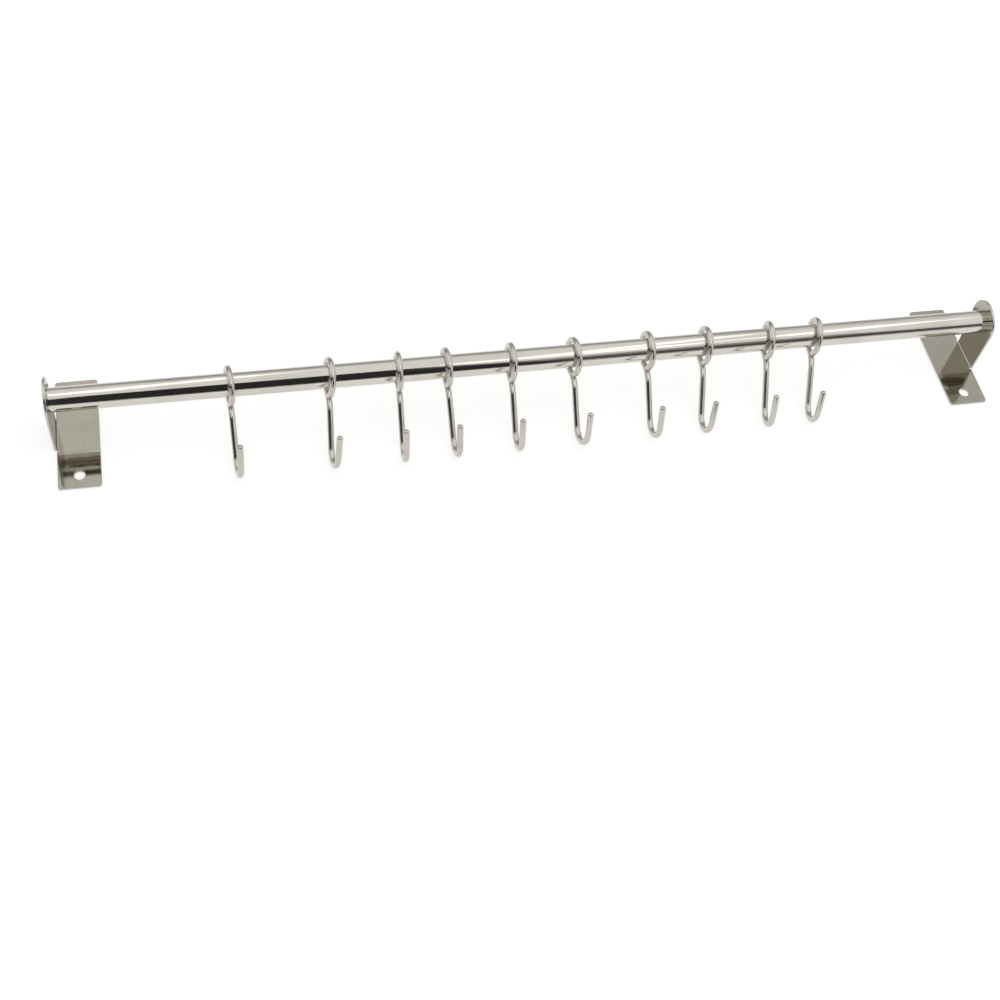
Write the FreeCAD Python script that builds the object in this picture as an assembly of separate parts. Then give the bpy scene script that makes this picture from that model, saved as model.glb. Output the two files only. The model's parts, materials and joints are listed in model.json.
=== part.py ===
"""Kitchen utensil rail: a steel tube on two folded wall brackets, with ten bent-wire hooks.

Frame, in millimetres: the wall is the plane z = 0 and +Z points out of it. The tube runs along X,
and +Y is up the wall. The origin is on the wall, in the middle of the four screw holes.
The rail is modelled as it lies on its wall plates, with the hooks lowered until they meet that plane.
"""
import FreeCAD, Part
import math
import os

# Tube
TUBE_OD = 16.0
TUBE_WALL = 0.8
TUBE_LENGTH = 643.0
TUBE_STANDOFF = 37.4          # wall to tube axis

# Wall bracket, one folded sheet
SHEET = 1.8
PLATE_WIDTH = 27.5            # along the tube
PLATE_HEIGHT = 88.4           # up the wall
PLATE_CORNER_R = 2.0
SCREW_HOLE_D = 7.0
SCREW_HOLE_INSET = 9.7        # hole centre to the plate's end
ARM_FOOT_WIDTH = 25.8         # width of the arm at the fold
ARM_END_R = 15.1              # round end, about the tube's axis
FOLD_INNER_R = 1.0
RELIEF_WIDTH = 1.2            # slot beside each end of the fold
RELIEF_DEPTH = 0.6            # how far the slot passes the start of the fold

# Hook, one bent wire
WIRE_D = 4.2
EYE_INNER_R = 9.6
NECK_BEND_R = 14.0            # bend from the eye into the shank
EYE_END_GAP = 0.4             # free end of the eye to the neck
SHANK_END = 46.4              # eye centre to the start of the J
J_BEND_R = 10.8               # at the wire's centre line
LEG_LENGTH = 16.0
LEG_FLARE = 26.0              # degrees outward from the shank
TIP_CHAMFER = 0.5
EYE_END_CHAMFER = 0.3

# Clearances
EYE_CLEARANCE = 0.5           # eye to the top of the tube it hangs on; a leaning eye comes closer
WALL_CLEARANCE = 0.4          # lowered hook to the wall plane; a leaning one comes closer

# Where the ten hooks stand on the tube, from its middle. Each lies a little askew on the wall plane:
# its yaw turns it about Z and its roll leans it over about its own shank, in degrees
HOOK_PLACES = (-208.2, -143.5, -97.6, -65.3, -21.4, 21.7, 73.7, 114.6, 160.6, 194.7)
HOOK_YAW_ANGLES = (0.0, -4.4, -1.7, 1.3, -0.9, -1.4, -2.1, -8.2, -7.6, -10.9)
HOOK_ROLL_ANGLES = (5.8, 10.6, -0.3, 1.3, 1.1, 7.8, 4.2, 7.7, -0.2, 5.0)

X_AXIS = FreeCAD.Vector(1, 0, 0)
Y_AXIS = FreeCAD.Vector(0, 1, 0)
Z_AXIS = FreeCAD.Vector(0, 0, 1)
ORIGIN = FreeCAD.Vector(0, 0, 0)

TUBE_R = TUBE_OD / 2
TUBE_END_X = TUBE_LENGTH / 2
WIRE_R = WIRE_D / 2
EYE_R = EYE_INNER_R + WIRE_R
EYE_CENTRE_Z = TUBE_STANDOFF - (EYE_INNER_R - TUBE_R - EYE_CLEARANCE)


def rail_tube():
    """Straight tube, cut square, between the inner faces of the two arms."""
    start = FreeCAD.Vector(-TUBE_END_X, 0, TUBE_STANDOFF)
    outside = Part.makeCylinder(TUBE_R, TUBE_LENGTH, start, X_AXIS)
    bore = Part.makeCylinder(TUBE_R - TUBE_WALL, TUBE_LENGTH, start, X_AXIS)
    return outside.cut(bore)


def wall_plate():
    """Flat plate on the wall with two screw holes, slotted at both ends of the fold."""
    plate = Part.makeBox(PLATE_WIDTH, PLATE_HEIGHT, SHEET,
                         FreeCAD.Vector(TUBE_END_X - PLATE_WIDTH, -PLATE_HEIGHT / 2, 0))
    upright = [edge for edge in plate.Edges if abs(edge.tangentAt(edge.FirstParameter).z) > 0.5]
    plate = plate.makeFillet(PLATE_CORNER_R, upright)
    hole_x = TUBE_END_X - PLATE_WIDTH / 2
    hole_y = PLATE_HEIGHT / 2 - SCREW_HOLE_INSET
    for side in (-1, 1):
        hole = Part.makeCylinder(SCREW_HOLE_D / 2, SHEET, FreeCAD.Vector(hole_x, side * hole_y, 0), Z_AXIS)
        plate = plate.cut(hole)
        slot_y = side * (ARM_FOOT_WIDTH + RELIEF_WIDTH) / 2 - RELIEF_WIDTH / 2
        slot_length = FOLD_INNER_R + RELIEF_DEPTH
        slot = Part.makeBox(slot_length, RELIEF_WIDTH, SHEET,
                            FreeCAD.Vector(TUBE_END_X - slot_length, slot_y, 0))
        plate = plate.cut(slot)
    folded_away = Part.makeBox(FOLD_INNER_R, ARM_FOOT_WIDTH, SHEET,
                               FreeCAD.Vector(TUBE_END_X - FOLD_INNER_R, -ARM_FOOT_WIDTH / 2, 0))
    return plate.cut(folded_away)


def fold():
    """Quarter bend that turns the sheet from the wall up into the arm."""
    section = Part.makePlane(ARM_FOOT_WIDTH, SHEET,
                             FreeCAD.Vector(TUBE_END_X - FOLD_INNER_R, -ARM_FOOT_WIDTH / 2, 0),
                             X_AXIS, Y_AXIS)
    bend_centre = FreeCAD.Vector(TUBE_END_X - FOLD_INNER_R, 0, SHEET + FOLD_INNER_R)
    return section.revolve(bend_centre, -Y_AXIS, 90)


def arm():
    """Arm from the fold to the round end, with straight sides that meet the round tangentially."""
    foot_z = SHEET + FOLD_INNER_R
    rise = TUBE_STANDOFF - foot_z
    foot_to_centre = math.hypot(ARM_FOOT_WIDTH / 2, rise)
    # direction from the round's centre to the foot corner, and from there to the tangent point
    corner_angle = math.atan2(-rise, ARM_FOOT_WIDTH / 2)
    tangent_angle = corner_angle + math.acos(ARM_END_R / foot_to_centre)
    touch_y = ARM_END_R * math.cos(tangent_angle)
    touch_z = TUBE_STANDOFF + ARM_END_R * math.sin(tangent_angle)
    foot_right = FreeCAD.Vector(TUBE_END_X, ARM_FOOT_WIDTH / 2, foot_z)
    foot_left = FreeCAD.Vector(TUBE_END_X, -ARM_FOOT_WIDTH / 2, foot_z)
    touch_right = FreeCAD.Vector(TUBE_END_X, touch_y, touch_z)
    touch_left = FreeCAD.Vector(TUBE_END_X, -touch_y, touch_z)
    crown = FreeCAD.Vector(TUBE_END_X, 0, TUBE_STANDOFF + ARM_END_R)
    outline = Part.Wire([
        Part.LineSegment(foot_left, foot_right).toShape(),
        Part.LineSegment(foot_right, touch_right).toShape(),
        Part.Arc(touch_right, crown, touch_left).toShape(),
        Part.LineSegment(touch_left, foot_left).toShape(),
    ])
    return Part.Face(outline).extrude(X_AXIS * SHEET)


def wall_bracket():
    """The folded bracket at the +X end of the tube, as one piece of sheet."""
    return wall_plate().multiFuse([fold(), arm()]).removeSplitter()


def hook_point(along, out):
    """Point in the hook's plane: along the shank from the eye's centre, and out to the front."""
    return FreeCAD.Vector(0, -out, -along)


def wire_section(centre, direction):
    """Round section of the wire, square to its run."""
    return Part.Face(Part.Wire(Part.makeCircle(WIRE_R, centre, direction)))


def chamfer_end(hook, end, size):
    """Chamfers the rim of the wire's end face that is centred on a point."""
    rim = [edge for edge in hook.Edges
           if isinstance(edge.Curve, Part.Circle) and edge.Curve.Center.distanceToPoint(end) < size
           and abs(edge.Curve.Radius - WIRE_R) < size / 10]
    return hook.makeChamfer(size, rim)


def hanging_hook():
    """Hook hanging straight down from its eye's centre at the origin, with its J open to -Y.

    The wire starts at the free end of the eye, in front of the neck. It goes up the front, over the
    top and down the back, bends into the shank and ends in the J's flared leg.
    """
    neck_along = math.sqrt(EYE_R * EYE_R + 2 * EYE_R * NECK_BEND_R)
    neck_angle = math.degrees(math.atan2(NECK_BEND_R, neck_along))
    neck_centre = hook_point(neck_along, -NECK_BEND_R)
    # the free end's outer rim stays clear of the wire round the neck bend
    rim_r = EYE_R + WIRE_R
    neck_reach = EYE_R + NECK_BEND_R
    rim_to_neck = NECK_BEND_R + WIRE_R + EYE_END_GAP
    rim_cosine = (rim_r ** 2 + neck_reach ** 2 - rim_to_neck ** 2) / (2 * rim_r * neck_reach)
    free_angle = math.degrees(math.acos(rim_cosine)) - neck_angle
    free_rad = math.radians(free_angle)
    eye_start = hook_point(EYE_R * math.cos(free_rad), EYE_R * math.sin(free_rad))
    eye_start_run = hook_point(-math.sin(free_rad), math.cos(free_rad))
    neck_rad = math.radians(neck_angle)
    eye_end = hook_point(EYE_R * math.cos(neck_rad), -EYE_R * math.sin(neck_rad))
    eye_end_run = hook_point(math.sin(neck_rad), math.cos(neck_rad))
    shank_start = hook_point(neck_along, 0)
    shank_end = hook_point(SHANK_END, 0)
    down = hook_point(1, 0)
    j_centre = hook_point(SHANK_END, J_BEND_R)
    flare = math.radians(LEG_FLARE)
    leg_start = hook_point(SHANK_END + J_BEND_R * math.sin(flare), J_BEND_R * (1 + math.cos(flare)))
    leg_run = hook_point(-math.cos(flare), math.sin(flare))

    eye = wire_section(eye_start, eye_start_run).revolve(ORIGIN, -X_AXIS, 360 - neck_angle - free_angle)
    neck = wire_section(eye_end, eye_end_run).revolve(neck_centre, X_AXIS, 90 - neck_angle)
    shank = wire_section(shank_start, down).extrude(shank_end - shank_start)
    j_bend = wire_section(shank_end, down).revolve(j_centre, -X_AXIS, 180 - LEG_FLARE)
    leg = wire_section(leg_start, leg_run).extrude(leg_run * LEG_LENGTH)
    hook = eye.multiFuse([neck, shank, j_bend, leg]).removeSplitter()
    hook = chamfer_end(hook, leg_start + leg_run * LEG_LENGTH, TIP_CHAMFER)
    return chamfer_end(hook, eye_start, EYE_END_CHAMFER)


def lowered_angle():
    """Angle below the horizontal at which the hook's J comes down to the wall plane, in degrees."""
    # the J's lowest point lies straight under its bend's centre
    bend_distance = math.hypot(SHANK_END, J_BEND_R)
    bend_offset = math.atan2(J_BEND_R, SHANK_END)
    drop = EYE_CENTRE_Z - (J_BEND_R + WIRE_R + WALL_CLEARANCE)
    return math.degrees(math.asin(drop / bend_distance) + bend_offset)


def placed_hook(hook, place, yaw, roll):
    """Copy of the hanging hook, leaned over, lowered to the wall plane and set on the tube."""
    copy = hook.copy()
    copy.rotate(ORIGIN, Z_AXIS, roll)
    copy.rotate(ORIGIN, X_AXIS, lowered_angle() - 90)
    copy.rotate(ORIGIN, Z_AXIS, yaw)
    copy.translate(FreeCAD.Vector(place, 0, EYE_CENTRE_Z))
    return copy


def main():
    os.makedirs("parts", exist_ok=True)
    rail_tube().exportStep("parts/rail_tube.step")
    right_bracket = wall_bracket()
    right_bracket.exportStep("parts/right_bracket.step")
    left_bracket = right_bracket.copy()
    left_bracket.rotate(ORIGIN, Z_AXIS, 180)
    left_bracket.exportStep("parts/left_bracket.step")
    hook = hanging_hook()
    for number, pose in enumerate(zip(HOOK_PLACES, HOOK_YAW_ANGLES, HOOK_ROLL_ANGLES), start=1):
        placed_hook(hook, *pose).exportStep(f"parts/hook_{number:02d}.step")


main()
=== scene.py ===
"""Looks of a kitchen utensil rail: a polished tube on two folded wall brackets, with bent-wire hooks.

Laid out as an add-on, with one operator for each group of pieces and one for the studio, and run as a script.
Everything is in metres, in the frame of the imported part: the wall is the plane z = 0 and +Z points out of it,
the tube runs along X, and +Y is up the wall.
"""
import json
import math
from collections import namedtuple

import bmesh
import bpy
from bpy.props import FloatProperty, FloatVectorProperty, PointerProperty
from bpy.types import Operator, Panel, PropertyGroup
from mathutils import Matrix, Vector


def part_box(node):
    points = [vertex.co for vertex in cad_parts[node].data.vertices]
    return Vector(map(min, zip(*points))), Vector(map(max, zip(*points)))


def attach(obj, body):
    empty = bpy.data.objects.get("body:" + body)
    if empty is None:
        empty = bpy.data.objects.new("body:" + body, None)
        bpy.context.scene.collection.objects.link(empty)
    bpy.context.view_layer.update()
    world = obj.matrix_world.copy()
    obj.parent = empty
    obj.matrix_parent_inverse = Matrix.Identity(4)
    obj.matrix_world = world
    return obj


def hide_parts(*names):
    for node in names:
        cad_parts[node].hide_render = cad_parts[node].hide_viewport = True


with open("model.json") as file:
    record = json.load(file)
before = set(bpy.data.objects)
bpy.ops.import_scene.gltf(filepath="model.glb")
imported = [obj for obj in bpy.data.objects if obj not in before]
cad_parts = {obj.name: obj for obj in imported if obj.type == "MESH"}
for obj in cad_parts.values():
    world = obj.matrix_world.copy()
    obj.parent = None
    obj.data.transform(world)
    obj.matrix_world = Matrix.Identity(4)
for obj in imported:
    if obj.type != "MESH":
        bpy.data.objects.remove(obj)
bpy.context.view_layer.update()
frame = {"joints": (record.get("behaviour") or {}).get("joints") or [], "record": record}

bl_info = {
    "name": "Kitchen utensil rail",
    "version": (1, 0, 0),
    "blender": (4, 5, 0),
    "location": "3D View > Sidebar > Rail",
    "description": "Models the polished tube, folded brackets and wire hooks of a kitchen utensil rail",
    "category": "Object",
}

MM = 0.001

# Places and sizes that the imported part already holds
TUBE_LOW, TUBE_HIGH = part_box("rail_tube")
BRACKET_LOW, BRACKET_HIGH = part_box("right_bracket")
TUBE_END = TUBE_HIGH.x
TUBE_HEIGHT = (TUBE_LOW.z + TUBE_HIGH.z) / 2
SCREWS = next(m for m in frame["record"]["mounts"] if m["name"] == "wall_screws")["dims"]
HOOK_JOINTS = {joint["child"]: joint for joint in frame["joints"]}

# How finely round forms are divided
TUBE_SIDES = 160
WIRE_SIDES = 36
HOLE_SIDES = 64
STEP_ANGLE = math.radians(4)
LEAST_STEPS = 4
CORNER_STEPS = 6
EDGE_STEPS = 3
TIP_STEPS = 6

# How places are told apart, and how edges are merged, rounded and smoothed
SAME_PLACE = 0.01 * MM
END_REACH = 0.1 * MM
MERGE_DISTANCE = 0.002 * MM
SHARP_ANGLE = math.radians(50)
SMOOTH_ANGLE = math.radians(35)
LARGE_FACE_WEIGHT = 100

# How far a piece may stray from the solid that it stands for
PLACE_TOLERANCE = 0.5 * MM
# Length of the drill for a screw hole, in thicknesses of the sheet
DRILL_SHEETS = 4

X_AXIS = Vector((1, 0, 0))
Y_AXIS = Vector((0, 1, 0))
CUT_EDGE = "cut_edge"


class RailSizes(PropertyGroup):
    """Sizes of the tube, the brackets and the hooks."""
    tube_diameter: FloatProperty(
        name="Tube diameter", description="Outside diameter of the tube",
        default=TUBE_HIGH.z - TUBE_LOW.z, unit="LENGTH")
    tube_wall: FloatProperty(
        name="Tube wall", description="Wall thickness of the tube", default=0.8 * MM, unit="LENGTH")
    tube_rim: FloatProperty(
        name="Tube rim", description="Rounding of the tube's cut ends", default=0.15 * MM, unit="LENGTH")
    sheet: FloatProperty(
        name="Sheet", description="Thickness of the brackets' sheet",
        default=BRACKET_HIGH.x - TUBE_END, unit="LENGTH")
    plate_width: FloatProperty(
        name="Plate width", description="Width of a wall plate along the tube",
        default=TUBE_END - BRACKET_LOW.x, unit="LENGTH")
    plate_height: FloatProperty(
        name="Plate height", description="Height of a wall plate up the wall",
        default=BRACKET_HIGH.y - BRACKET_LOW.y, unit="LENGTH")
    plate_corner: FloatProperty(
        name="Plate corner", description="Radius of a wall plate's corners", default=2.0 * MM, unit="LENGTH")
    arm_foot: FloatProperty(
        name="Arm foot", description="Width of the arm at the fold", default=25.8 * MM, unit="LENGTH")
    arm_end: FloatProperty(
        name="Arm end", description="Radius of the arm's round end, about the tube's axis",
        default=BRACKET_HIGH.z - TUBE_HEIGHT, unit="LENGTH")
    fold: FloatProperty(
        name="Fold", description="Inner radius of the fold", default=1.0 * MM, unit="LENGTH")
    relief_width: FloatProperty(
        name="Relief width", description="Width of the slot beside each end of the fold",
        default=1.2 * MM, unit="LENGTH")
    relief_depth: FloatProperty(
        name="Relief depth", description="How far the slot passes the start of the fold",
        default=0.6 * MM, unit="LENGTH")
    sheet_edge: FloatProperty(
        name="Sheet edge", description="Rounding of the sheet's cut edges", default=0.4 * MM, unit="LENGTH")
    wire: FloatProperty(
        name="Wire", description="Diameter of the hooks' wire", default=4.2 * MM, unit="LENGTH")
    eye: FloatProperty(
        name="Eye", description="Inner radius of a hook's eye", default=9.6 * MM, unit="LENGTH")
    neck: FloatProperty(
        name="Neck", description="Radius of the bend from the eye into the shank",
        default=14.0 * MM, unit="LENGTH")
    eye_gap: FloatProperty(
        name="Eye gap", description="From the eye's free end to the neck", default=0.4 * MM, unit="LENGTH")
    shank_end: FloatProperty(
        name="Shank end", description="From the eye's centre to the start of the J",
        default=46.4 * MM, unit="LENGTH")
    j_bend: FloatProperty(
        name="J bend", description="Radius of the J at the wire's centre line",
        default=10.8 * MM, unit="LENGTH")
    leg: FloatProperty(
        name="Leg", description="Length of the J's straight leg", default=16.0 * MM, unit="LENGTH")
    flare: FloatProperty(
        name="Flare", description="How far the leg leans out from the shank",
        default=math.radians(26), subtype="ANGLE")
    tip_round: FloatProperty(
        name="Tip rounding", description="Rounding of the wire's end in the J",
        default=1.6 * MM, unit="LENGTH")
    eye_end_round: FloatProperty(
        name="Eye end rounding", description="Rounding of the wire's end in the eye",
        default=0.3 * MM, unit="LENGTH")
    wall_gap: FloatProperty(
        name="Wall gap", description="From a lowered hook to the wall plane", default=0.4 * MM, unit="LENGTH")


class RailFinish(PropertyGroup):
    """Colours and polish of the steel, with a painted highlight on the sheet's cut edges."""
    mirror_colour: FloatVectorProperty(
        name="Mirror steel", description="Colour of the polished tube",
        default=(0.64, 0.615, 0.565), subtype="COLOR", min=0, max=1)
    wire_colour: FloatVectorProperty(
        name="Wire steel", description="Colour of the hooks' polished wire",
        default=(0.55, 0.525, 0.48), subtype="COLOR", min=0, max=1)
    sheet_colour: FloatVectorProperty(
        name="Sheet steel", description="Colour of the brackets' sheet",
        default=(0.41, 0.385, 0.325), subtype="COLOR", min=0, max=1)
    # painted highlight: the cut edges get a lighter colour than the sheet's faces, standing in for the bright
    # light they mirror
    edge_highlight_colour: FloatVectorProperty(
        name="Cut edge", description="Colour of the sheet's cut edges",
        default=(0.52, 0.505, 0.47), subtype="COLOR", min=0, max=1)
    edge_roughness: FloatProperty(
        name="Cut edge roughness", description="How much rougher the sheet's cut edges are than its faces",
        default=0.12, subtype="FACTOR", min=0, max=1)
    mirror_roughness: FloatProperty(
        name="Mirror roughness", description="Roughness of the polished tube and wire",
        default=0.07, subtype="FACTOR", min=0, max=1)
    sheet_roughness: FloatProperty(
        name="Sheet roughness", description="Roughness of the brackets' sheet",
        default=0.055, subtype="FACTOR", min=0, max=1)


class RailStudio(PropertyGroup):
    """Camera, light and floor."""
    camera_place: FloatVectorProperty(
        name="Camera place", description="Where the camera stands",
        default=(-0.2212, -0.6301, 0.7960), subtype="TRANSLATION")
    camera_yaw: FloatProperty(
        name="Camera yaw", description="How far the camera looks to the right of straight ahead",
        default=math.radians(18.24), subtype="ANGLE")
    camera_pitch: FloatProperty(
        name="Camera pitch", description="How far the camera looks down",
        default=math.radians(54.24), subtype="ANGLE")
    camera_roll: FloatProperty(
        name="Camera roll", description="How far the camera is turned about its own axis",
        default=math.radians(9.16), subtype="ANGLE")
    focal_length: FloatProperty(
        name="Focal length", description="Focal length in millimetres on a 36 mm sensor", default=53.86)
    floor_colour: FloatVectorProperty(
        name="Floor", description="Colour of the pale floor",
        default=(0.80, 0.80, 0.79), subtype="COLOR", min=0, max=1)
    floor_glow: FloatProperty(
        name="Floor glow", description="How much the floor is lifted to white", default=0.60)
    room_light: FloatProperty(
        name="Room light", description="Even light of the room on matt surfaces", default=0.50)


def deselect_all():
    """Clears the selection before a new piece is added."""
    bpy.ops.object.select_all(action="DESELECT")


def select_only(piece, kind, test):
    """In edit mode, selects just those vertices, edges or faces of a piece that pass a test."""
    bpy.context.tool_settings.mesh_select_mode = (kind == "verts", kind == "edges", kind == "faces")
    bpy.ops.mesh.select_all(action="DESELECT")
    mesh = bmesh.from_edit_mesh(piece.data)
    for item in getattr(mesh, kind):
        item.select_set(bool(test(item)))
    mesh.select_flush_mode()
    bmesh.update_edit_mesh(piece.data)


def near(value, wanted):
    return abs(value - wanted) < SAME_PLACE


def edge_at(edge, axis, wanted):
    """Whether both ends of an edge lie at one place along an axis."""
    return all(near(getattr(vertex.co, axis), wanted) for vertex in edge.verts)


def edge_middle(edge):
    return (edge.verts[0].co + edge.verts[1].co) / 2


def extrude_by(offset):
    bpy.ops.mesh.extrude_region_move(TRANSFORM_OT_translate={"value": tuple(offset)})


def spin(angle, centre, axis):
    """Sweeps what is selected about an axis, right-handed, in steps of about the same angle."""
    steps = max(LEAST_STEPS, round(abs(angle) / STEP_ANGLE))
    bpy.ops.mesh.spin(steps=steps, angle=-angle, center=tuple(centre), axis=tuple(axis), use_auto_merge=False)


def merge_doubles():
    bpy.ops.mesh.select_all(action="SELECT")
    bpy.ops.mesh.remove_doubles(threshold=MERGE_DISTANCE)


def apply_modifier(piece, kind, **settings):
    """Adds a modifier to the active piece and applies it."""
    modifier = piece.modifiers.new(kind.title(), kind)
    for name, value in settings.items():
        setattr(modifier, name, value)
    bpy.ops.object.modifier_apply(modifier=modifier.name)


def close_up(piece):
    """Merges doubles, turns the faces outwards, leaves edit mode and smooths the round forms.

    Large faces keep their own normals next to a small rounding, so that flat and straight forms mirror truly.
    """
    merge_doubles()
    bpy.ops.mesh.normals_make_consistent(inside=False)
    bpy.ops.object.mode_set(mode="OBJECT")
    bpy.ops.object.shade_smooth_by_angle(angle=SMOOTH_ANGLE)
    apply_modifier(piece, "WEIGHTED_NORMAL", mode="FACE_AREA", weight=LARGE_FACE_WEIGHT, keep_sharp=True)


def stand_for(piece, node, body, material):
    """Gives a piece its finish, puts it in the place of a node and lets it ride on the node's body."""
    places = [vertex.co for vertex in piece.data.vertices]
    lowest = Vector(map(min, zip(*places)))
    highest = Vector(map(max, zip(*places)))
    node_low, node_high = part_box(node)
    astray = max((lowest - node_low).length, (highest - node_high).length)
    if astray > PLACE_TOLERANCE:
        raise RuntimeError(f"{piece.name} is {astray / MM:.2f} mm away from {node}")
    piece.data.materials.clear()
    piece.data.materials.append(material)
    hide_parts(node)
    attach(piece, body)


def copy_piece(piece, name, matrix):
    """Copy of a piece with a mesh of its own, moved by a matrix."""
    copy = piece.copy()
    copy.data = piece.data.copy()
    copy.name = copy.data.name = name
    copy.data.transform(matrix)
    bpy.context.scene.collection.objects.link(copy)
    return copy


# Tube

def model_tube(sizes):
    """Hollow tube between the arms, with lightly rounded rims."""
    deselect_all()
    bpy.ops.mesh.primitive_cylinder_add(
        vertices=TUBE_SIDES, radius=sizes.tube_diameter / 2, depth=TUBE_HIGH.x - TUBE_LOW.x,
        end_fill_type="NOTHING", location=(0, 0, TUBE_HEIGHT), rotation=(0, math.pi / 2, 0))
    tube = bpy.context.active_object
    tube.name = tube.data.name = "steel_tube"
    bpy.ops.object.transform_apply(location=True, rotation=True, scale=True)
    apply_modifier(tube, "SOLIDIFY", thickness=sizes.tube_wall, offset=-1)
    bpy.ops.object.mode_set(mode="EDIT")
    select_only(tube, "edges", is_rim)
    bpy.ops.mesh.bevel(offset=sizes.tube_rim, segments=EDGE_STEPS, affect="EDGES")
    close_up(tube)
    return tube


def is_rim(edge):
    """Whether an edge runs round the tube's axis at one of its ends."""
    first, second = edge.verts
    return (near(abs(first.co.x), TUBE_END) and near(first.co.x, second.co.x)
            and near(axis_distance(first), axis_distance(second)))


def axis_distance(vertex):
    return math.hypot(vertex.co.y, vertex.co.z - TUBE_HEIGHT)


# Brackets

def model_bracket(sizes):
    """Folded bracket at the +X end: its outer surface first, then the sheet's thickness inwards."""
    bracket = start_arm(sizes)
    fold_plate(bracket, sizes)
    merge_doubles()
    bpy.ops.mesh.normals_make_consistent(inside=False)
    bpy.ops.object.mode_set(mode="OBJECT")
    plate = min(bracket.data.polygons, key=lambda face: face.center.z)
    if plate.normal.z > 0:
        bracket.data.flip_normals()
    # two empty slots let the new rim faces carry a number of their own
    bracket.data.materials.append(None)
    bracket.data.materials.append(None)
    apply_modifier(bracket, "SOLIDIFY", thickness=sizes.sheet, offset=-1, use_even_offset=True,
                   material_offset_rim=1)
    drill_holes(bracket, sizes)
    apply_modifier(bracket, "BEVEL", width=sizes.sheet_edge, segments=EDGE_STEPS, limit_method="ANGLE",
                   angle_limit=SHARP_ANGLE, harden_normals=False)
    bpy.ops.object.mode_set(mode="EDIT")
    close_up(bracket)
    mark_cut_edges(bracket)
    return bracket


def start_arm(sizes):
    """Outer face of the arm, left in edit mode: straight sides that run tangent into the round end."""
    outer_x = TUBE_END + sizes.sheet
    half_foot = sizes.arm_foot / 2
    foot_height = sizes.sheet + sizes.fold
    rise = TUBE_HEIGHT - foot_height
    tangent = math.acos(sizes.arm_end / math.hypot(half_foot, rise)) - math.atan2(rise, half_foot)
    touch_y = sizes.arm_end * math.cos(tangent)
    touch_z = TUBE_HEIGHT + sizes.arm_end * math.sin(tangent)
    deselect_all()
    bpy.ops.mesh.primitive_plane_add(size=1, location=(outer_x, 0, 0), rotation=(0, math.pi / 2, 0))
    bracket = bpy.context.active_object
    bracket.name = bracket.data.name = "right_folded_bracket"
    bpy.ops.object.transform_apply(location=True, rotation=True, scale=True)
    for vertex in bracket.data.vertices:
        side = math.copysign(1, vertex.co.y)
        upper = vertex.co.z > 0
        vertex.co.y = side * (touch_y if upper else half_foot)
        vertex.co.z = touch_z if upper else foot_height

    # one upper corner is spun over the tube's axis to the other, and the arc is filled
    bpy.ops.object.mode_set(mode="EDIT")
    select_only(bracket, "verts", lambda v: near(v.co.y, touch_y) and near(v.co.z, touch_z))
    spin(math.pi - 2 * tangent, Vector((outer_x, 0, TUBE_HEIGHT)), X_AXIS)
    merge_doubles()
    select_only(bracket, "verts", lambda v: v.co.z > touch_z - SAME_PLACE)
    bpy.ops.mesh.edge_face_add()
    return bracket


def fold_plate(bracket, sizes):
    """Folds the foot of the arm, runs it out to a strip of plate and widens that past the relief slots."""
    half_foot = sizes.arm_foot / 2
    half_plate = sizes.plate_height / 2
    foot_height = sizes.sheet + sizes.fold
    slot_x = TUBE_END - sizes.fold - sizes.relief_depth
    plate_x = TUBE_END - sizes.plate_width
    select_only(bracket, "edges", lambda edge: edge_at(edge, "z", foot_height))
    spin(math.pi / 2, Vector((TUBE_END - sizes.fold, 0, foot_height)), Y_AXIS)
    extrude_by((-sizes.relief_depth, 0, 0))
    extrude_by((plate_x - slot_x, 0, 0))
    for side in (-1, 1):
        strip_edge = half_foot * side
        past_slot = strip_edge + sizes.relief_width * side
        tab_length = half_plate - abs(past_slot)
        select_only(bracket, "edges", lambda edge: edge_at(edge, "y", strip_edge)
                    and near(edge_middle(edge).x, (slot_x + plate_x) / 2))
        extrude_by((0, past_slot - strip_edge, 0))
        extrude_by((0, tab_length * side, 0))
        # the tab beside the slot reaches as far as the arm
        select_only(bracket, "edges", lambda edge: edge_at(edge, "x", slot_x)
                    and near(edge.calc_length(), tab_length) and edge_middle(edge).y * side > 0)
        extrude_by((TUBE_END - slot_x, 0, 0))
    select_only(bracket, "verts", lambda v: near(abs(v.co.y), half_plate)
                and (near(v.co.x, plate_x) or near(v.co.x, TUBE_END)))
    bpy.ops.mesh.bevel(offset=sizes.plate_corner, segments=CORNER_STEPS, affect="VERTICES")


def drill_holes(bracket, sizes):
    """Cuts the two screw holes through the plate."""
    hole_x = SCREWS["spacing_x_mm"] / 2 * MM
    hole_y = SCREWS["spacing_y_mm"] / 2 * MM
    for side in (-1, 1):
        deselect_all()
        bpy.ops.mesh.primitive_cylinder_add(
            vertices=HOLE_SIDES, radius=SCREWS["hole_r_mm"] * MM, depth=DRILL_SHEETS * sizes.sheet,
            location=(hole_x, side * hole_y, sizes.sheet / 2))
        drill = bpy.context.active_object
        bpy.context.view_layer.objects.active = bracket
        apply_modifier(bracket, "BOOLEAN", object=drill, operation="DIFFERENCE", solver="EXACT")
        bpy.data.objects.remove(drill)
    deselect_all()
    bracket.select_set(True)


def mark_cut_edges(bracket):
    """Writes which faces are the sheet's cut edges to a mask that their roughness and painted highlight read.
    """
    mask = bracket.data.attributes.new(CUT_EDGE, "FLOAT", "FACE")
    for face in bracket.data.polygons:
        mask.data[face.index].value = face.material_index
        face.material_index = 0


# Hooks

def hook_point(along, out):
    """Point in the hook's plane: along the shank from the eye's centre, and out to the front."""
    return Vector((0, -out, -along))


def angle_between(first, second, opposite):
    """Angle between two sides of a triangle, from the length of the third."""
    return math.acos((first ** 2 + second ** 2 - opposite ** 2) / (2 * first * second))


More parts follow.
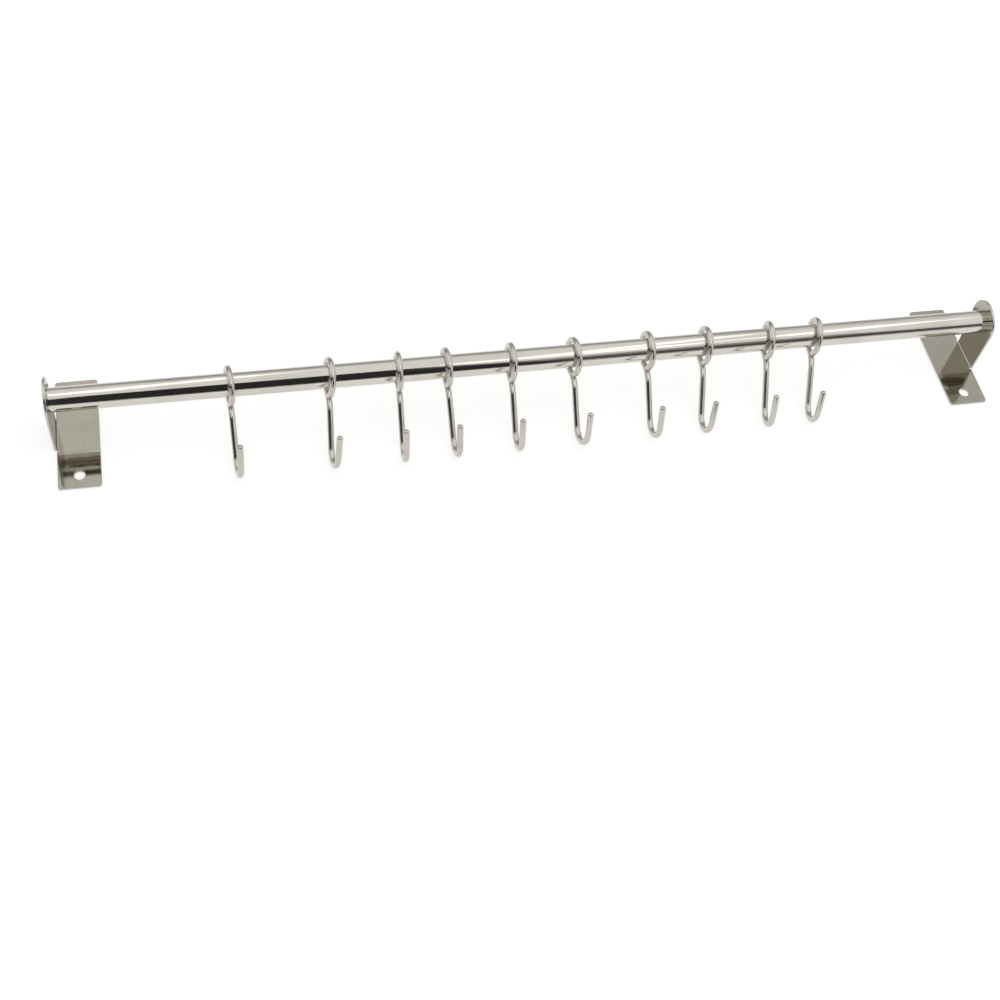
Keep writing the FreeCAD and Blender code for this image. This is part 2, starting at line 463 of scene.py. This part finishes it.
def model_hook(sizes):
    """Hook hanging from its eye's centre at the origin: one wire swept through eye, neck, shank and J."""
    wire_r = sizes.wire / 2
    eye_r = sizes.eye + wire_r
    neck_along = math.sqrt(eye_r * eye_r + 2 * eye_r * sizes.neck)
    neck_angle = math.atan2(sizes.neck, neck_along)
    rim_to_neck = sizes.neck + wire_r + sizes.eye_gap
    free_angle = angle_between(eye_r + wire_r, eye_r + sizes.neck, rim_to_neck) - neck_angle
    eye_end = hook_point(eye_r * math.cos(free_angle), eye_r * math.sin(free_angle))
    tip = hook_point(
        sizes.shank_end + sizes.j_bend * math.sin(sizes.flare) - sizes.leg * math.cos(sizes.flare),
        sizes.j_bend * (1 + math.cos(sizes.flare)) + sizes.leg * math.sin(sizes.flare))
    deselect_all()
    bpy.ops.mesh.primitive_circle_add(
        vertices=WIRE_SIDES, radius=wire_r, fill_type="NGON", location=eye_end,
        rotation=(math.pi / 2 - free_angle, 0, 0))
    hook = bpy.context.active_object
    hook.name = hook.data.name = "wire_hook"
    bpy.ops.object.transform_apply(location=True, rotation=True, scale=True)
    bpy.ops.object.mode_set(mode="EDIT")
    bpy.context.tool_settings.mesh_select_mode = (False, False, True)
    bpy.ops.mesh.select_all(action="SELECT")
    spin(-(2 * math.pi - neck_angle - free_angle), Vector((0, 0, 0)), X_AXIS)
    spin(math.pi / 2 - neck_angle, hook_point(neck_along, -sizes.neck), X_AXIS)
    extrude_by(hook_point(sizes.shank_end - neck_along, 0))
    spin(-(math.pi - sizes.flare), hook_point(sizes.shank_end, sizes.j_bend), X_AXIS)
    extrude_by(hook_point(-math.cos(sizes.flare), math.sin(sizes.flare)) * sizes.leg)
    for end, rounding in ((tip, sizes.tip_round), (eye_end, sizes.eye_end_round)):
        select_only(hook, "faces", lambda face: len(face.verts) == WIRE_SIDES
                    and (face.calc_center_median() - end).length < END_REACH)
        bpy.ops.mesh.bevel(offset=rounding, segments=TIP_STEPS, affect="EDGES")
    close_up(hook)
    return hook


def hook_lean(sizes, eye_height):
    """How far a lowered hook leans from hanging straight down, with its J just off the wall plane."""
    bend_distance = math.hypot(sizes.shank_end, sizes.j_bend)
    bend_offset = math.atan2(sizes.j_bend, sizes.shank_end)
    drop = eye_height - (sizes.j_bend + sizes.wire / 2 + sizes.wall_gap)
    return math.pi / 2 - math.asin(drop / bend_distance) - bend_offset


def hook_place(sizes, joint):
    """How a hook lies: its yaw, and its roll about its own shank, follow from the axis it swings on."""
    eye_centre = Vector(joint["pos_m"])
    normal = -Vector(joint["axis"])
    lean = hook_lean(sizes, eye_centre.z)
    roll = -math.asin(normal.z / math.sin(lean))
    yaw = math.atan2(normal.y, normal.x) - math.atan2(math.sin(roll) * math.cos(lean), math.cos(roll))
    return (Matrix.Translation(eye_centre) @ Matrix.Rotation(yaw, 4, "Z")
            @ Matrix.Rotation(-lean, 4, "X") @ Matrix.Rotation(roll, 4, "Z"))


# Finishes

SteelLook = namedtuple("SteelLook", (
    "colour", "roughness", "stretch", "fineness",
    "line_roughness", "line_height", "haze_spread", "haze_roughness"))

# How much of its brightness the steel keeps where it is hazy
HAZE_TINT = 0.89
# Depth of the polishing lines where they are at full height
LINE_DEPTH = 0.02 * MM


def new_node(tree, kind, **settings):
    node = tree.nodes.new(kind)
    for name, value in settings.items():
        setattr(node, name, value)
    return node


def new_group(name, inputs, outputs):
    """Empty shader node group with float sockets, apart from those named Vector."""
    group = bpy.data.node_groups.new(name, "ShaderNodeTree")
    for direction, names in (("INPUT", inputs), ("OUTPUT", outputs)):
        for socket in names:
            kind = "NodeSocketVector" if socket == "Vector" else "NodeSocketFloat"
            group.interface.new_socket(socket, in_out=direction, socket_type=kind)
    return group, new_node(group, "NodeGroupInput"), new_node(group, "NodeGroupOutput")


def noise_mask_group(name, scale, mask, low, high, noise_inputs):
    """Shader node group, built once, that spreads a noise between two levels over the range 0 to 1."""
    if name in bpy.data.node_groups:
        return bpy.data.node_groups[name]
    group, given, result = new_group(name, ("Vector", scale), (mask,))
    noise = new_node(group, "ShaderNodeTexNoise")
    for socket, value in noise_inputs.items():
        noise.inputs[socket].default_value = value
    spread = new_node(group, "ShaderNodeMapRange")
    spread.inputs["From Min"].default_value = low
    spread.inputs["From Max"].default_value = high
    link = group.links.new
    link(given.outputs["Vector"], noise.inputs["Vector"])
    link(given.outputs[scale], noise.inputs["Scale"])
    link(noise.outputs["Fac"], spread.inputs["Value"])
    link(spread.outputs["Result"], result.inputs[mask])
    return group


def polish_lines_group():
    """Fine lines left by drawing and polishing, along whichever way the vector is stretched."""
    return noise_mask_group("Polish lines", "Fineness", "Lines", low=0.30, high=0.70,
                            noise_inputs={"Detail": 4, "Roughness": 0.65})


def handling_haze_group():
    """Soft clouds of slightly duller polish, as hands leave them."""
    return noise_mask_group("Handling haze", "Spread", "Haze", low=0.45, high=0.75,
                            noise_inputs={"Detail": 3, "Distortion": 0.8})


def steel(name, look, edge_highlight_colour=None, edge_roughness=0.0):
    """Polished steel with fine lines, a little haze from handling and, on sheet, rougher cut edges with a
    painted highlight in a lighter colour.
    """
    material = bpy.data.materials.new(name)
    material.use_nodes = True
    tree = material.node_tree
    link = tree.links.new
    shader = tree.nodes["Principled BSDF"]
    shader.inputs["Metallic"].default_value = 1.0
    place = new_node(tree, "ShaderNodeTexCoord")
    stretch = new_node(tree, "ShaderNodeMapping")
    stretch.inputs["Scale"].default_value = look.stretch
    lines = new_node(tree, "ShaderNodeGroup", node_tree=polish_lines_group())
    lines.inputs["Fineness"].default_value = look.fineness
    haze = new_node(tree, "ShaderNodeGroup", node_tree=handling_haze_group())
    haze.inputs["Spread"].default_value = look.haze_spread
    link(place.outputs["Object"], stretch.inputs["Vector"])
    link(stretch.outputs["Vector"], lines.inputs["Vector"])
    link(place.outputs["Object"], haze.inputs["Vector"])

    duller = new_node(tree, "ShaderNodeMath", operation="MULTIPLY_ADD")
    duller.inputs[1].default_value = look.haze_roughness
    duller.inputs[2].default_value = look.roughness
    lined = new_node(tree, "ShaderNodeMath", operation="MULTIPLY_ADD")
    lined.inputs[1].default_value = look.line_roughness
    link(haze.outputs["Haze"], duller.inputs[0])
    link(lines.outputs["Lines"], lined.inputs[0])
    link(duller.outputs["Value"], lined.inputs[2])
    roughness = lined.outputs["Value"]

    tint = new_node(tree, "ShaderNodeMix", data_type="RGBA")
    tint.inputs["A"].default_value = (*look.colour, 1)
    tint.inputs["B"].default_value = (*[HAZE_TINT * c for c in look.colour], 1)
    link(haze.outputs["Haze"], tint.inputs["Factor"])
    colour = tint.outputs["Result"]

    # on sheet: rougher cut edges, and a painted highlight in their lighter colour
    if edge_highlight_colour:
        colour, roughness = cut_edge_highlight_and_roughness(tree, colour, roughness, edge_highlight_colour, edge_roughness)
    link(colour, shader.inputs["Base Color"])
    link(roughness, shader.inputs["Roughness"])

    bump = new_node(tree, "ShaderNodeBump")
    bump.inputs["Strength"].default_value = look.line_height
    bump.inputs["Distance"].default_value = LINE_DEPTH
    link(lines.outputs["Lines"], bump.inputs["Height"])
    link(bump.outputs["Normal"], shader.inputs["Normal"])
    return material


def cut_edge_highlight_and_roughness(tree, colour, roughness, edge_highlight_colour, edge_roughness):
    """Rougher cut edges, with a painted highlight in a lighter colour, where the mask marks them."""
    link = tree.links.new
    edge = new_node(tree, "ShaderNodeAttribute", attribute_name=CUT_EDGE)
    # painted highlight: the cut edges' lighter colour is mixed in where the mask marks them
    painted_edge_highlight = new_node(tree, "ShaderNodeMix", data_type="RGBA")
    painted_edge_highlight.inputs["B"].default_value = (*edge_highlight_colour, 1)
    matt = new_node(tree, "ShaderNodeMath", operation="MULTIPLY_ADD")
    matt.inputs[1].default_value = edge_roughness
    link(edge.outputs["Fac"], painted_edge_highlight.inputs["Factor"])
    link(colour, painted_edge_highlight.inputs["A"])
    link(edge.outputs["Fac"], matt.inputs[0])
    link(roughness, matt.inputs[2])
    return painted_edge_highlight.outputs["Result"], matt.outputs["Value"]


# Studio

SENSOR_WIDTH = 36
FAR_CLIP = 100
FLOOR_SIZE = 60
FLOOR_DROP = 0.1 * MM
FRONT_Y = -3.00
REAR_Y = 1.50
TABLE_Z = 1 * MM
CEILING_Z = 1.60
STRIP_TURN = math.radians(72)

# Which way a card looks that stands in front, behind, to the left or on the table
FRONT, REAR, LEFT, TABLE = (0, 1, 0), (0, -1, 0), (1, 0, 0), (0, 0, 1)

Card = namedtuple("Card", "name centre width height facing level")
CARDS = (
    Card("front_flag", (-0.06, FRONT_Y, 2.60), 1.58, 5.20, FRONT, 0.03),
    Card("wide_left_flag", (-4.35, FRONT_Y, 3.00), 7.00, 1.52, FRONT, 0.05),
    Card("low_right_flag", (1.59, FRONT_Y, 0.82), 1.72, 1.44, FRONT, 0.10),
    Card("front_grey_card", (1.33, FRONT_Y, 2.15), 1.20, 1.22, FRONT, 0.36),
    Card("front_pale_card", (3.63, FRONT_Y, 2.15), 3.40, 1.22, FRONT, 0.86),
    Card("rear_grey_card", (0.0, REAR_Y, 0.42), 4.00, 0.86, REAR, 0.45),
    Card("rear_pale_card", (0.0, REAR_Y, 1.12), 4.00, 0.54, REAR, 0.72),
    Card("rear_right_card", (1.75, REAR_Y, 1.90), 1.70, 1.02, REAR, 0.82),
    Card("left_flag", (-1.55, -0.70, 0.60), 1.10, 1.20, LEFT, 0.08),
    Card("left_table_card", (-0.62, -0.80, TABLE_Z), 1.84, 0.90, TABLE, 0.12),
    Card("right_table_card", (1.25, -0.80, TABLE_Z), 1.90, 0.90, TABLE, 0.30),
)

LightPanel = namedtuple("LightPanel", "name centre width depth turn level")
PANELS = (
    LightPanel("left_strip", (-0.30, 0.52, CEILING_Z), 1.25, 0.22, STRIP_TURN, 0.85),
    LightPanel("middle_strip", (0.62, 0.35, CEILING_Z), 1.45, 0.16, STRIP_TURN, 0.75),
    LightPanel("right_strip", (0.92, -0.20, CEILING_Z), 0.90, 0.24, STRIP_TURN, 0.85),
    LightPanel("front_panel", (0.45, -0.66, CEILING_Z), 0.48, 0.50, 0.0, 0.80),
)


def light_path_mask(tree):
    """1 for rays from the camera, off metal or through glass, and 0 for the rest."""
    path = new_node(tree, "ShaderNodeLightPath")
    first = new_node(tree, "ShaderNodeMath", operation="MAXIMUM")
    second = new_node(tree, "ShaderNodeMath", operation="MAXIMUM")
    tree.links.new(path.outputs["Is Camera Ray"], first.inputs[0])
    tree.links.new(path.outputs["Is Glossy Ray"], first.inputs[1])
    tree.links.new(first.outputs["Value"], second.inputs[0])
    tree.links.new(path.outputs["Is Transmission Ray"], second.inputs[1])
    return second.outputs["Value"]


def white_room(scene, studio):
    """World that is white to look at and lights matt surfaces evenly."""
    world = bpy.data.worlds.new("white_room")
    world.use_nodes = True
    tree = world.node_tree
    strength = new_node(tree, "ShaderNodeMath", operation="MULTIPLY_ADD")
    strength.inputs[1].default_value = 1 - studio.room_light
    strength.inputs[2].default_value = studio.room_light
    tree.links.new(light_path_mask(tree), strength.inputs[0])
    background = tree.nodes["Background"]
    background.inputs["Color"].default_value = (1, 1, 1, 1)
    tree.links.new(strength.outputs["Value"], background.inputs["Strength"])
    scene.world = world


def bare_material(name):
    """New material without a shader, with its node tree and the socket that a shader goes into."""
    material = bpy.data.materials.new(name)
    material.use_nodes = True
    tree = material.node_tree
    tree.nodes.remove(tree.nodes["Principled BSDF"])
    return material, tree, tree.nodes["Material Output"].inputs["Surface"]


def pale_floor(studio):
    """Floor that keeps soft shadows and is lifted to white where it is seen."""
    deselect_all()
    bpy.ops.mesh.primitive_plane_add(size=FLOOR_SIZE, location=(0, 0, -FLOOR_DROP))
    floor = bpy.context.active_object
    floor.name = floor.data.name = "floor"
    material, tree, surface = bare_material("pale_floor")
    matt = new_node(tree, "ShaderNodeBsdfDiffuse")
    matt.inputs["Color"].default_value = (*studio.floor_colour, 1)
    glow = new_node(tree, "ShaderNodeEmission")
    strength = new_node(tree, "ShaderNodeMath", operation="MULTIPLY")
    strength.inputs[1].default_value = studio.floor_glow
    both = new_node(tree, "ShaderNodeAddShader")
    tree.links.new(light_path_mask(tree), strength.inputs[0])
    tree.links.new(strength.outputs["Value"], glow.inputs["Strength"])
    tree.links.new(matt.outputs["BSDF"], both.inputs[0])
    tree.links.new(glow.outputs["Emission"], both.inputs[1])
    tree.links.new(both.outputs["Shader"], surface)
    floor.data.materials.append(material)


def add_card(card):
    """Flat card that only polished metal sees."""
    deselect_all()
    turn = Vector(card.facing).to_track_quat("Z", "Y").to_euler()
    bpy.ops.mesh.primitive_plane_add(size=1, location=card.centre, rotation=turn)
    plane = bpy.context.active_object
    plane.name = plane.data.name = card.name
    plane.scale = (card.width, card.height, 1)
    bpy.ops.object.transform_apply(location=True, rotation=True, scale=True)
    material, tree, surface = bare_material(card.name)
    glow = new_node(tree, "ShaderNodeEmission")
    glow.inputs["Strength"].default_value = card.level
    tree.links.new(glow.outputs["Emission"], surface)
    plane.data.materials.append(material)
    plane.visible_camera = False
    plane.visible_diffuse = False
    plane.visible_shadow = False


def add_panel(panel):
    """Soft light panel overhead, facing down."""
    data = bpy.data.lights.new(panel.name, "AREA")
    data.shape = "RECTANGLE"
    data.size = panel.width
    data.size_y = panel.depth
    data.energy = panel.level * math.pi * panel.width * panel.depth
    lamp = bpy.data.objects.new(panel.name, data)
    lamp.location = panel.centre
    lamp.rotation_euler.z = panel.turn
    lamp.visible_camera = False
    bpy.context.scene.collection.objects.link(lamp)


def add_camera(scene, studio):
    """Camera at the photograph's viewing angle."""
    data = bpy.data.cameras.new("camera")
    data.sensor_width = SENSOR_WIDTH
    data.lens = studio.focal_length
    data.clip_end = FAR_CLIP
    camera = bpy.data.objects.new("camera", data)
    turn = (Matrix.Rotation(-studio.camera_yaw, 4, "Z")
            @ Matrix.Rotation(math.pi / 2 - studio.camera_pitch, 4, "X")
            @ Matrix.Rotation(studio.camera_roll, 4, "Z"))
    camera.matrix_world = Matrix.Translation(studio.camera_place) @ turn
    scene.collection.objects.link(camera)
    scene.camera = camera


class RAIL_OT_tube(Operator):
    """Models the polished tube between the two brackets"""
    bl_idname = "rail.tube"
    bl_label = "Tube"

    def execute(self, context):
        finish = context.scene.rail_finish
        look = SteelLook(
            colour=finish.mirror_colour, roughness=finish.mirror_roughness,
            stretch=(0.01, 1, 1), fineness=900, line_roughness=0.02, line_height=0.015,
            haze_spread=30, haze_roughness=0.03)
        tube = model_tube(context.scene.rail_sizes)
        stand_for(tube, "rail_tube", "rail", steel("polished_tube", look))
        return {"FINISHED"}


class RAIL_OT_brackets(Operator):
    """Models the folded wall bracket and its twin at the other end"""
    bl_idname = "rail.brackets"
    bl_label = "Brackets"

    def execute(self, context):
        finish = context.scene.rail_finish
        look = SteelLook(
            colour=finish.sheet_colour, roughness=finish.sheet_roughness,
            stretch=(1, 0.02, 1), fineness=1400, line_roughness=0.05, line_height=0.03,
            haze_spread=45, haze_roughness=0.04)
        # the sheet's cut edges carry a painted highlight in their lighter colour
        material = steel("polished_sheet", look, finish.edge_highlight_colour, finish.edge_roughness)
        right = model_bracket(context.scene.rail_sizes)
        left = copy_piece(right, "left_folded_bracket", Matrix.Rotation(math.pi, 4, "Z"))
        for piece, node in ((right, "right_bracket"), (left, "left_bracket")):
            stand_for(piece, node, "rail", material)
        return {"FINISHED"}


class RAIL_OT_hooks(Operator):
    """Models one bent-wire hook and sets a copy at each place on the tube"""
    bl_idname = "rail.hooks"
    bl_label = "Hooks"

    def execute(self, context):
        sizes = context.scene.rail_sizes
        finish = context.scene.rail_finish
        look = SteelLook(
            colour=finish.wire_colour, roughness=finish.mirror_roughness,
            stretch=(1, 1, 1), fineness=900, line_roughness=0.03, line_height=0.02,
            haze_spread=60, haze_roughness=0.05)
        material = steel("polished_wire", look)
        pattern = model_hook(sizes)
        for node, joint in sorted(HOOK_JOINTS.items()):
            hook = copy_piece(pattern, "wire_" + node, hook_place(sizes, joint))
            stand_for(hook, node, node, material)
        bpy.data.objects.remove(pattern)
        return {"FINISHED"}


class RAIL_OT_studio(Operator):
    """Sets the floor, the light, the cards that the metal mirrors and the camera"""
    bl_idname = "rail.studio"
    bl_label = "Studio"

    def execute(self, context):
        scene = context.scene
        studio = scene.rail_studio
        scene.view_settings.view_transform = "Standard"
        white_room(scene, studio)
        pale_floor(studio)
        for card in CARDS:
            add_card(card)
        for panel in PANELS:
            add_panel(panel)
        add_camera(scene, studio)
        return {"FINISHED"}


class RAIL_PT_panel(Panel):
    """Lists the steps of the rail and its sizes"""
    bl_label = "Utensil rail"
    bl_idname = "RAIL_PT_panel"
    bl_space_type = "VIEW_3D"
    bl_region_type = "UI"
    bl_category = "Rail"

    def draw(self, context):
        layout = self.layout
        for step in STEPS:
            layout.operator(step.bl_idname)
        for group in (context.scene.rail_sizes, context.scene.rail_finish, context.scene.rail_studio):
            box = layout.box()
            for name in group.bl_rna.properties.keys():
                if name not in ("rna_type", "name"):
                    box.prop(group, name)


STEPS = (RAIL_OT_tube, RAIL_OT_brackets, RAIL_OT_hooks, RAIL_OT_studio)
CLASSES = (RailSizes, RailFinish, RailStudio, *STEPS, RAIL_PT_panel)


def register():
    for cls in CLASSES:
        bpy.utils.register_class(cls)
    bpy.types.Scene.rail_sizes = PointerProperty(type=RailSizes)
    bpy.types.Scene.rail_finish = PointerProperty(type=RailFinish)
    bpy.types.Scene.rail_studio = PointerProperty(type=RailStudio)


def unregister():
    del bpy.types.Scene.rail_studio
    del bpy.types.Scene.rail_finish
    del bpy.types.Scene.rail_sizes
    for cls in reversed(CLASSES):
        bpy.utils.unregister_class(cls)


def main():
    register()
    bpy.ops.rail.tube()
    bpy.ops.rail.brackets()
    bpy.ops.rail.hooks()
    bpy.ops.rail.studio()


if __name__ == "__main__":
    main()
